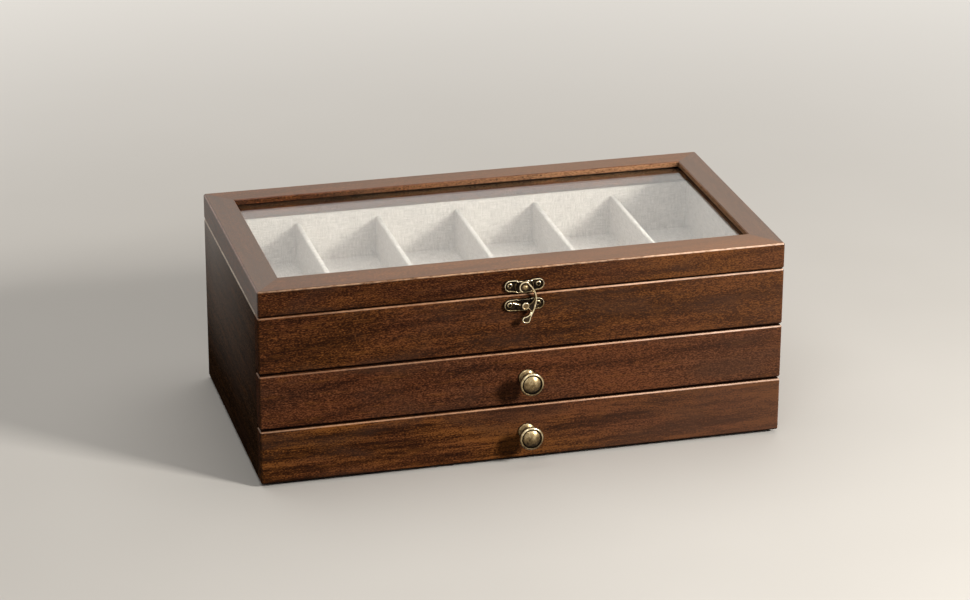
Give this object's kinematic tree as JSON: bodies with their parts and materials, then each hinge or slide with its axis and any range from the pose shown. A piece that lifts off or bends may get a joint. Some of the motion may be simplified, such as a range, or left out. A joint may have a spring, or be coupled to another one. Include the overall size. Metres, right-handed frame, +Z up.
{
  "type": "knife display case",
  "caption": "Wooden display case with a glazed lid over a lined, divided tray and shallow drawers below, with brass knobs and a swing-hook latch.",
  "frame": {"origin": "on the table, under the middle of the wooden body", "axes": "+X to the right along the front, +Y to the rear, +Z up"},
  "size_m": [0.35, 0.2072, 0.1352],
  "materials": {
    "front_wood": "satin walnut stain",
    "side_wood": "satin walnut stain",
    "lid_wood": "satin walnut stain",
    "inner_wood": "plain board",
    "tray_lining": "off-white linen weave",
    "drawer_lining": "off-white linen weave",
    "base_felt": "black felt",
    "glass": "clear float glass",
    "latch_brass": "antique brass",
    "knob_brass": "antique brass",
    "hinge_brass": "antique brass",
    "steel_screws": "zinc plated"
  },
  "bodies": {
    "case": {"base_felt": "base_felt", "base_board": "inner_wood", "drawer_shelf": "inner_wood", "tray_floor": "inner_wood", "side_panel_left": "side_wood", "side_panel_right": "side_wood", "back_panel": "side_wood", "front_panel": "front_wood", "lining_floor": "tray_lining", "lining_left": "tray_lining", "lining_right": "tray_lining", "lining_front": "tray_lining", "lining_back": "tray_lining", "divider_1": "tray_lining", "divider_2": "tray_lining", "divider_3": "tray_lining", "divider_4": "tray_lining", "divider_5": "tray_lining", "keeper_plate": "latch_brass", "keeper_post": "latch_brass", "keeper_screws": "latch_brass", "hinge_left_case_leaf": "hinge_brass", "hinge_right_case_leaf": "hinge_brass", "hinge_case_screws": "hinge_brass"},
    "lid": {"lid_rail_front": "lid_wood", "lid_rail_back": "lid_wood", "lid_rail_left": "lid_wood", "lid_rail_right": "lid_wood", "lid_glass": "glass", "glass_bead_front": "inner_wood", "glass_bead_back": "inner_wood", "glass_bead_left": "inner_wood", "glass_bead_right": "inner_wood", "hinge_left_lid_leaf": "hinge_brass", "hinge_right_lid_leaf": "hinge_brass", "hinge_pins": "hinge_brass", "hinge_lid_screws": "hinge_brass", "latch_plate": "latch_brass", "latch_rivet": "latch_brass", "latch_screws": "latch_brass"},
    "latch_hook": {"latch_hook": "latch_brass"},
    "upper_drawer": {"upper_drawer_front": "front_wood", "upper_drawer_side_left": "inner_wood", "upper_drawer_side_right": "inner_wood", "upper_drawer_back": "inner_wood", "upper_drawer_bottom": "inner_wood", "upper_drawer_lining": "drawer_lining", "upper_drawer_knob": "knob_brass", "upper_drawer_knob_screw": "steel_screws"},
    "lower_drawer": {"lower_drawer_front": "front_wood", "lower_drawer_side_left": "inner_wood", "lower_drawer_side_right": "inner_wood", "lower_drawer_back": "inner_wood", "lower_drawer_bottom": "inner_wood", "lower_drawer_lining": "drawer_lining", "lower_drawer_knob": "knob_brass", "lower_drawer_knob_screw": "steel_screws"}
  },
  "joints": [
    {"name": "lid_hinge", "type": "hinge", "parent": "case", "child": "lid", "pos_m": [0, 0.09615, 0.1174], "axis": [-1, 0, 0], "range_deg": [0, 95]},
    {"name": "hook_pivot", "type": "hinge", "parent": "lid", "child": "latch_hook", "pos_m": [-0.0016, -0.09665, 0.12285], "axis": [0, -1, 0], "range_deg": [0, 110]},
    {"name": "upper_drawer_slide", "type": "slide", "parent": "case", "child": "upper_drawer", "axis": [0, -1, 0], "range_m": [0, 0.14]},
    {"name": "lower_drawer_slide", "type": "slide", "parent": "case", "child": "lower_drawer", "axis": [0, -1, 0], "range_m": [0, 0.14]}
  ]
}
